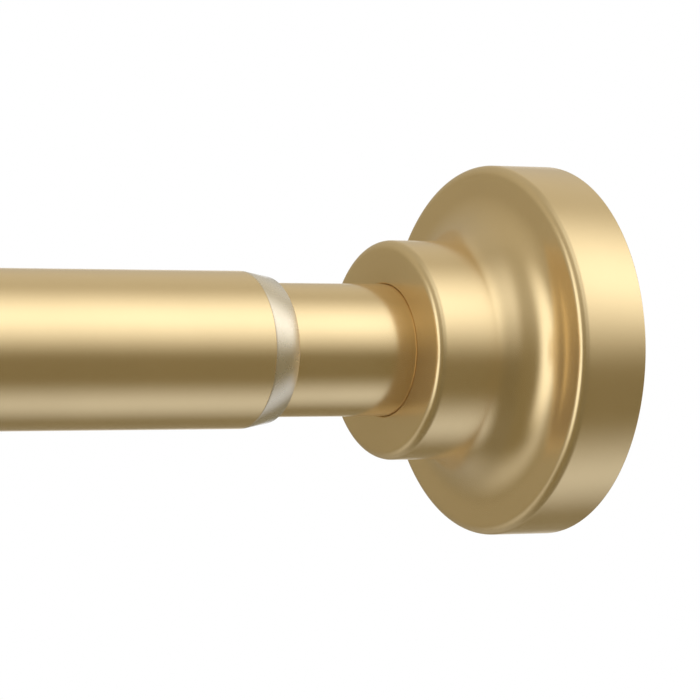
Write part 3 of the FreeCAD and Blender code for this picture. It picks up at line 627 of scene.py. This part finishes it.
# A soft box that runs along the rod. Its middle and its reach are in degrees about the
# rod: 0 is the room side, 90 above, 180 behind and -90 below. Its levels are those that
# a piece sees when it mirrors to the left, ahead and to the right.
SoftBox = namedtuple("SoftBox", "middle reach levels warmth")
KEY_BOX = SoftBox(middle=45.0, reach=61.0, levels=(0.28, 1.00, 1.64), warmth=-0.2)
BACK_BOX = SoftBox(middle=126.0, reach=110.0, levels=(0.36, 0.40, 0.54), warmth=0.05)
LOW_BACK_BOX = SoftBox(middle=-135.0, reach=36.0, levels=(0.42, 0.25, 0.04), warmth=-0.5)
LOW_BOX = SoftBox(middle=-85.0, reach=45.0, levels=(0.0, 0.04, 0.68), warmth=-0.8)
SOFT_BOXES = (KEY_BOX, BACK_BOX, LOW_BACK_BOX, LOW_BOX)
ROOM_LEVELS = (0.20, 0.16, 0.19)
ROOM_WARMTH = 1.8
STUDIO_STRENGTH = 0.855

# How far a direction leans to the right where one level passes into the next
LEFT_TO_AHEAD = (-0.60, -0.23)
AHEAD_TO_RIGHT = (0.05, 0.50)

# The tall soft lamp at the left end, nearly in line with the rod, as the middle and
# half sizes of its glow across the direction -X, and the share of them where it fades
END_LAMP_MIDDLE = (-0.01, 0.02)
END_LAMP_HALF = (0.36, 0.54)
END_LAMP_FADE = (1.30, 0.40)
END_LAMP_LEFT = (-0.30, -0.60)
END_LAMP_LEVEL = 2.0
END_LAMP_WARMTH = 0.0

# A light's colour with no warmth, a little cool, and what a warmth of 1 takes from it
COOL_TINT = (1.0, 1.05, 1.18)
WARM_LOSS = (0.0, 0.14, 0.5)

# How nearly a direction points away from the camera where the backdrop's white begins
# and where it is full
BACKDROP_FADE = (0.95, 0.99)


def light_tint(warmth):
    """The colour of a light at a level of 1."""
    return tuple(cool - loss * warmth for cool, loss in zip(COOL_TINT, WARM_LOSS))


def light_from(nodes, level, warmth):
    """A light's colour at a level that the nodes give."""
    values = {"Vector": light_tint(warmth), "Scale": level}
    return nodes.add("ShaderNodeVectorMath", values, operation="SCALE").outputs["Vector"]


def lean_level(nodes, levels, steps):
    """A level that passes from left to ahead to right as the direction leans."""
    left, ahead, right = levels
    rise = nodes.math("MULTIPLY", steps[0], ahead - left)
    further = nodes.math("MULTIPLY", steps[1], right - ahead)
    return nodes.math("ADD", nodes.math("ADD", rise, further), left)


def box_share(nodes, around, box):
    """One in the middle of a soft box, fading to 0 at its reach."""
    turn = math.radians(box.middle)
    facing = nodes.vector_math("DOT_PRODUCT", around, (0.0, -math.cos(turn), math.sin(turn)))
    return soft_step(nodes, nodes.math("ARCCOSINE", facing), math.radians(box.reach), 0.0)


def studio_walls(nodes, direction, lean):
    """The room's dim light and its soft boxes, added up."""
    across = nodes.vector_math("MULTIPLY", direction, (0.0, 1.0, 1.0))
    around = nodes.vector_math("NORMALIZE", across)
    steps = [soft_step(nodes, lean, *edges) for edges in (LEFT_TO_AHEAD, AHEAD_TO_RIGHT)]
    total = light_from(nodes, lean_level(nodes, ROOM_LEVELS, steps), ROOM_WARMTH)
    for box in SOFT_BOXES:
        share = box_share(nodes, around, box)
        level = nodes.math("MULTIPLY", share, lean_level(nodes, box.levels, steps))
        total = nodes.vector_math("ADD", total, light_from(nodes, level, box.warmth))
    return total


def end_lamp_share(nodes, parts):
    """One in the middle of the lamp at the left end, fading to 0 outside it."""
    squares = []
    for axis, middle, half in zip("YZ", END_LAMP_MIDDLE, END_LAMP_HALF):
        offset = nodes.math("DIVIDE", nodes.math("SUBTRACT", parts[axis], middle), half)
        squares.append(nodes.math("MULTIPLY", offset, offset))
    distance = nodes.math("SQRT", nodes.math("ADD", *squares))
    glow = soft_step(nodes, distance, *END_LAMP_FADE)
    return nodes.math("MULTIPLY", glow, soft_step(nodes, parts["X"], *END_LAMP_LEFT))


def backdrop_share(nodes, direction):
    """One in the directions of the white paper behind the rod, as the photograph sees it."""
    away = (math.sin(CAMERA_YAW), math.cos(CAMERA_YAW), 0.0)
    facing = nodes.vector_math("DOT_PRODUCT", direction, away)
    return mapped(nodes, facing, *BACKDROP_FADE, 0.0, 1.0)


def studio_world():
    """White to the camera and, straight behind the rod, to mirrored and transmitted rays.
    All other rays see the dim studio with its soft boxes and its lamp."""
    world = bpy.data.worlds.new("studio")
    bpy.context.scene.world = world
    world.use_nodes = True
    world.node_tree.nodes.clear()
    nodes = Nodes(world.node_tree)
    direction = nodes.add("ShaderNodeTexCoord").outputs["Generated"]
    parts = nodes.add("ShaderNodeSeparateXYZ", {"Vector": direction}).outputs
    lights = {
        MIX_FACTOR: end_lamp_share(nodes, parts),
        MIX_FIRST: studio_walls(nodes, direction, parts["X"]),
        MIX_SECOND: (*(END_LAMP_LEVEL * part for part in light_tint(END_LAMP_WARMTH)), 1.0),
    }
    light = nodes.add("ShaderNodeMix", lights, data_type="RGBA").outputs[MIX_RESULT]
    studio = nodes.add("ShaderNodeBackground", {"Color": light, "Strength": STUDIO_STRENGTH})
    white = nodes.add("ShaderNodeBackground", {"Color": (1.0, 1.0, 1.0, 1.0), "Strength": 1.0})
    path = nodes.add("ShaderNodeLightPath").outputs
    mirrored = nodes.math("MAXIMUM", path["Is Glossy Ray"], path["Is Transmission Ray"])
    behind = nodes.math("MULTIPLY", mirrored, backdrop_share(nodes, direction))
    seen = nodes.math("MAXIMUM", behind, path["Is Camera Ray"])
    mix = nodes.add("ShaderNodeMixShader", {"Fac": seen, 1: studio.outputs[0], 2: white.outputs[0]})
    nodes.add("ShaderNodeOutputWorld", {"Surface": mix.outputs[0]})


studio_world()


# Floor, well below the rod so that it stays out of the photograph's frame

FLOOR_DROP = 0.30
FLOOR_BEYOND = 0.75
FLOOR_DARK = (0.78, 0.79, 0.805)
FLOOR_LIGHT = (0.80, 0.81, 0.825)


def make_floor():
    """A pale floor that keeps the rod's shadow. The metal mirrors the studio in its place."""
    mesh = bpy.data.meshes.new("floor")
    left = cad_bounds[0][0] - FLOOR_BEYOND
    right = cad_bounds[1][0] + FLOOR_BEYOND
    front, back = -FLOOR_BEYOND, FLOOR_BEYOND
    corners = [(left, front), (right, front), (right, back), (left, back)]
    mesh.from_pydata([(x, y, -FLOOR_DROP) for x, y in corners], [], [(0, 1, 2, 3)])
    material, nodes, shader = new_material("pale_floor")
    cloud = noise(nodes, scale=6.0)
    colour = tinted(nodes, cloud, FLOOR_DARK, FLOOR_LIGHT)
    nodes.fill(shader, {"Base Color": colour, "Roughness": 0.9})
    mesh.materials.append(material)
    floor = bpy.data.objects.new("floor", mesh)
    bpy.context.scene.collection.objects.link(floor)
    floor.visible_glossy = False


make_floor()

bpy.context.scene.view_settings.view_transform = "Standard"
